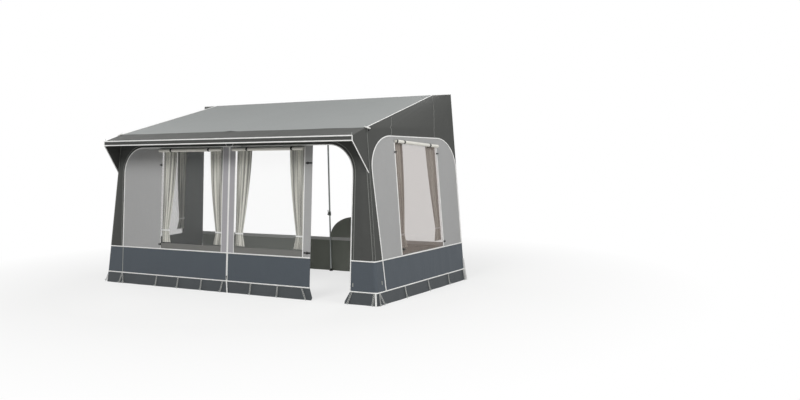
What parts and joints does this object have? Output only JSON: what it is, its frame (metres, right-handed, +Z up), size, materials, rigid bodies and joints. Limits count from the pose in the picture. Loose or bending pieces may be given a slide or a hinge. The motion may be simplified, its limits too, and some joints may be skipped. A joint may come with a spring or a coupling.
{
  "type": "caravan awning",
  "caption": "Full-height fabric room with a sloping roof, windowed walls, curtains and a jointed pole frame, for the side of a caravan.",
  "frame": {"origin": "on the ground, in the middle of the space that the awning fills", "axes": "+X along the vehicle's side, to the right seen from in front; +Y towards the vehicle; +Z up"},
  "size_m": [4.6956, 2.1524, 2.45],
  "materials": {
    "roof_cloth": "coated acrylic cloth, matte mid grey",
    "dark_cloth": "coated cloth, matte charcoal",
    "light_cloth": "coated cloth, matte light grey",
    "skirt_cloth": "coated polyester, blue grey, slight sheen",
    "flap_cloth": "coated cloth, slate grey",
    "cover_cloth": "rolled cloth, cream",
    "curtain_cloth": "open woven cloth, sand",
    "clear_film": "clear flexible film",
    "track_plastic": "white moulded plastic",
    "black_plastic": "black moulded plastic",
    "steel": "zinc-plated steel tube",
    "bead_cord": "plastic-covered cord",
    "rubber": "pale moulded rubber"
  },
  "bodies": {
    "awning": {"canopy_panel": "dark_cloth", "canopy_pole": "steel", "centre_leg_upper": "steel", "centre_rafter": "steel", "centre_skirt": "skirt_cloth", "draught_skirt": "flap_cloth", "eave_pole": "steel", "front_left_cover_roll": "cover_cloth", "front_left_curtain_track": "track_plastic", "front_left_panel": "light_cloth", "front_left_window": "clear_film", "front_right_cover_roll": "cover_cloth", "front_right_curtain_track": "track_plastic", "front_right_panel": "light_cloth", "front_right_window": "clear_film", "front_surround": "dark_cloth", "front_valance": "dark_cloth", "left_canopy_gusset": "dark_cloth", "left_leg_upper": "steel", "left_mud_flap": "flap_cloth", "left_peg_line": "rubber", "left_rafter": "steel", "left_side_cover_roll": "cover_cloth", "left_side_curtain_track": "track_plastic", "left_side_panel": "light_cloth", "left_side_wall": "dark_cloth", "left_side_window": "clear_film", "left_skirt": "skirt_cloth", "rail_bead": "bead_cord", "rear_upright_upper": "steel", "right_canopy_gusset": "dark_cloth", "right_leg_upper": "steel", "right_mud_flap": "flap_cloth", "right_peg_line": "rubber", "right_rafter": "steel", "right_side_cover_roll": "cover_cloth", "right_side_curtain_track": "track_plastic", "right_side_panel": "light_cloth", "right_side_wall": "dark_cloth", "right_side_window": "clear_film", "right_skirt": "skirt_cloth", "roof_panel": "roof_cloth", "wheel_arch_cover": "flap_cloth"},
    "left_leg_lower": {"left_leg_lower": "steel"},
    "left_leg_clamp_lever": {"left_leg_clamp_lever": "black_plastic"},
    "centre_leg_lower": {"centre_leg_lower": "steel"},
    "centre_leg_clamp_lever": {"centre_leg_clamp_lever": "black_plastic"},
    "right_leg_lower": {"right_leg_lower": "steel"},
    "right_leg_clamp_lever": {"right_leg_clamp_lever": "black_plastic"},
    "rear_upright_lower": {"rear_upright_lower": "steel"},
    "rear_upright_clamp_lever": {"rear_upright_clamp_lever": "black_plastic"},
    "front_left_outer_curtain": {"front_left_outer_curtain": "curtain_cloth"},
    "front_left_inner_curtain": {"front_left_inner_curtain": "curtain_cloth"},
    "front_right_inner_curtain": {"front_right_inner_curtain": "curtain_cloth"},
    "front_right_outer_curtain": {"front_right_outer_curtain": "curtain_cloth"},
    "left_side_front_curtain": {"left_side_front_curtain": "curtain_cloth"},
    "left_side_rear_curtain": {"left_side_rear_curtain": "curtain_cloth"},
    "right_side_front_curtain": {"right_side_front_curtain": "curtain_cloth"},
    "right_side_rear_curtain": {"right_side_rear_curtain": "curtain_cloth"},
    "zip_slider": {"zip_slider": "black_plastic"}
  },
  "joints": [
    {"name": "left_leg_telescope", "type": "slide", "parent": "awning", "child": "left_leg_lower", "axis": [0.1038, 0.0855, 0.9909], "range_m": [0, 0.25]},
    {"name": "left_leg_clamp", "type": "hinge", "parent": "awning", "child": "left_leg_clamp_lever", "pos_m": [-2.05054, -0.82934, 0.81551], "axis": [-0.9946, 0, 0.1042], "range_deg": [0, 110]},
    {"name": "centre_leg_telescope", "type": "slide", "parent": "awning", "child": "centre_leg_lower", "axis": [0, 0.086, 0.9963], "range_m": [0, 0.25]},
    {"name": "centre_leg_clamp", "type": "hinge", "parent": "awning", "child": "centre_leg_clamp_lever", "pos_m": [-0.03, -0.82933, 0.81559], "axis": [-1, 0, 0], "range_deg": [0, 110]},
    {"name": "right_leg_telescope", "type": "slide", "parent": "awning", "child": "right_leg_lower", "axis": [-0.1038, 0.0855, 0.9909], "range_m": [0, 0.25]},
    {"name": "right_leg_clamp", "type": "hinge", "parent": "awning", "child": "right_leg_clamp_lever", "pos_m": [2.05054, -0.82934, 0.81551], "axis": [-0.9946, 0, -0.1042], "range_deg": [0, 110]},
    {"name": "rear_upright_telescope", "type": "slide", "parent": "awning", "child": "rear_upright_lower", "axis": [0, 0, 1], "range_m": [0, 0.25]},
    {"name": "rear_upright_clamp", "type": "hinge", "parent": "awning", "child": "rear_upright_clamp_lever", "pos_m": [0.1727, 1.03775, 0.818], "axis": [0, -1, 0], "range_deg": [0, 110]},
    {"name": "front_left_outer_curtain_glide", "type": "slide", "parent": "awning", "child": "front_left_outer_curtain", "axis": [1, 0, 0], "range_m": [0, 0.25]},
    {"name": "front_left_inner_curtain_glide", "type": "slide", "parent": "awning", "child": "front_left_inner_curtain", "axis": [-1, 0, 0], "range_m": [0, 0.25]},
    {"name": "front_right_inner_curtain_glide", "type": "slide", "parent": "awning", "child": "front_right_inner_curtain", "axis": [1, 0, 0], "range_m": [0, 0.25]},
    {"name": "front_right_outer_curtain_glide", "type": "slide", "parent": "awning", "child": "front_right_outer_curtain", "axis": [-1, 0, 0], "range_m": [0, 0.25]},
    {"name": "left_side_front_curtain_glide", "type": "slide", "parent": "awning", "child": "left_side_front_curtain", "axis": [-0.0897, 0.996, 0], "range_m": [0, 0.25]},
    {"name": "left_side_rear_curtain_glide", "type": "slide", "parent": "awning", "child": "left_side_rear_curtain", "axis": [0.0897, -0.996, 0], "range_m": [0, 0.25]},
    {"name": "right_side_front_curtain_glide", "type": "slide", "parent": "awning", "child": "right_side_front_curtain", "axis": [0.0897, 0.996, 0], "range_m": [0, 0.25]},
    {"name": "right_side_rear_curtain_glide", "type": "slide", "parent": "awning", "child": "right_side_rear_curtain", "axis": [-0.0897, -0.996, 0], "range_m": [0, 0.25]},
    {"name": "zip_slider_travel", "type": "slide", "parent": "awning", "child": "zip_slider", "axis": [0, 0.086, 0.9963], "range_m": [0, 1.58]}
  ]
}
